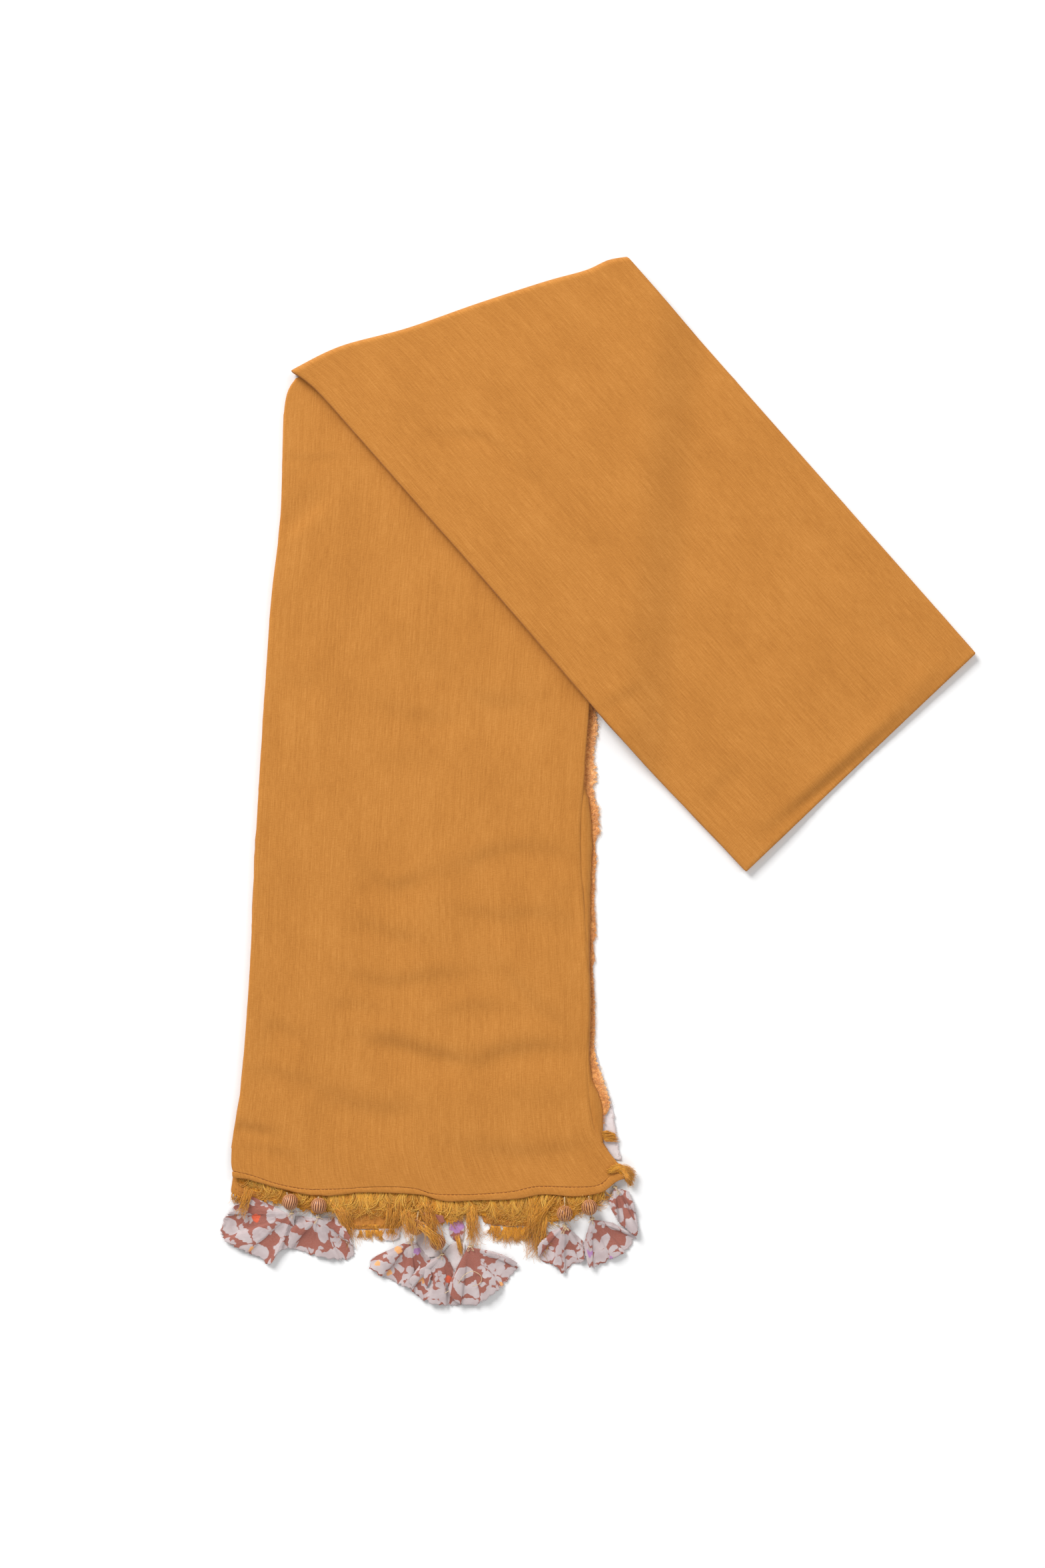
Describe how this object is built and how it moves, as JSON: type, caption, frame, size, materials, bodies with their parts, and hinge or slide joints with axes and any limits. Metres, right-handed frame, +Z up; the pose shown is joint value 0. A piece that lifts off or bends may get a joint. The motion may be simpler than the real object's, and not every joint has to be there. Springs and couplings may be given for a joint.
{
  "type": "sarong",
  "caption": "Plain cotton voile sarong with fringed hems, wooden beads and gathered printed chiffon tassels, folded small and laid flat.",
  "frame": {"origin": "middle of the outline, on the surface the folded sarong lies on", "axes": "+Z up; +Y along the lower leg, from its hemmed ends towards the slanting fold; +X towards the side that the upper leg runs off to"},
  "size_m": [0.4702, 0.6544, 0.0113],
  "materials": {
    "cloth": "matte plain-woven mustard cotton voile with fine slubs",
    "fringe": "matte loose cotton threads, deeper mustard",
    "fray": "fuzzy raw edge, peach",
    "gauze": "sheer pale lilac-grey gauze",
    "chiffon": "thin chiffon, pale flower shapes on terracotta",
    "bead": "turned wood with dark brown stripes, satin",
    "tie": "ecru twisted cotton"
  },
  "bodies": {
    "root": {"under_leg_folds": "cloth", "under_leg_cloth": "cloth", "over_leg_folds": "cloth", "over_leg_cloth": "cloth", "top_hem": "cloth", "second_hem": "cloth", "third_hem": "cloth", "fringe_top": "fringe", "fringe_low_left": "fringe", "fringe_low_right": "fringe", "side_fray": "fray", "corner_fray": "fray", "side_gauze": "gauze", "tassel_1": "chiffon", "tassel_2": "chiffon", "tassel_3": "chiffon", "tassel_4": "chiffon", "tassel_5": "chiffon", "tassel_6": "chiffon", "tassel_7": "chiffon", "tassel_8": "chiffon", "tassel_9": "chiffon", "bead_1": "bead", "bead_2": "bead", "bead_3": "bead", "bead_4": "bead", "bead_5": "bead", "bead_6": "bead", "tie_1": "tie", "tie_2": "tie", "tie_3": "tie", "tie_4": "tie", "tie_5": "tie", "tie_6": "tie", "tie_7": "tie", "tie_8": "tie"}
  },
  "joints": []
}
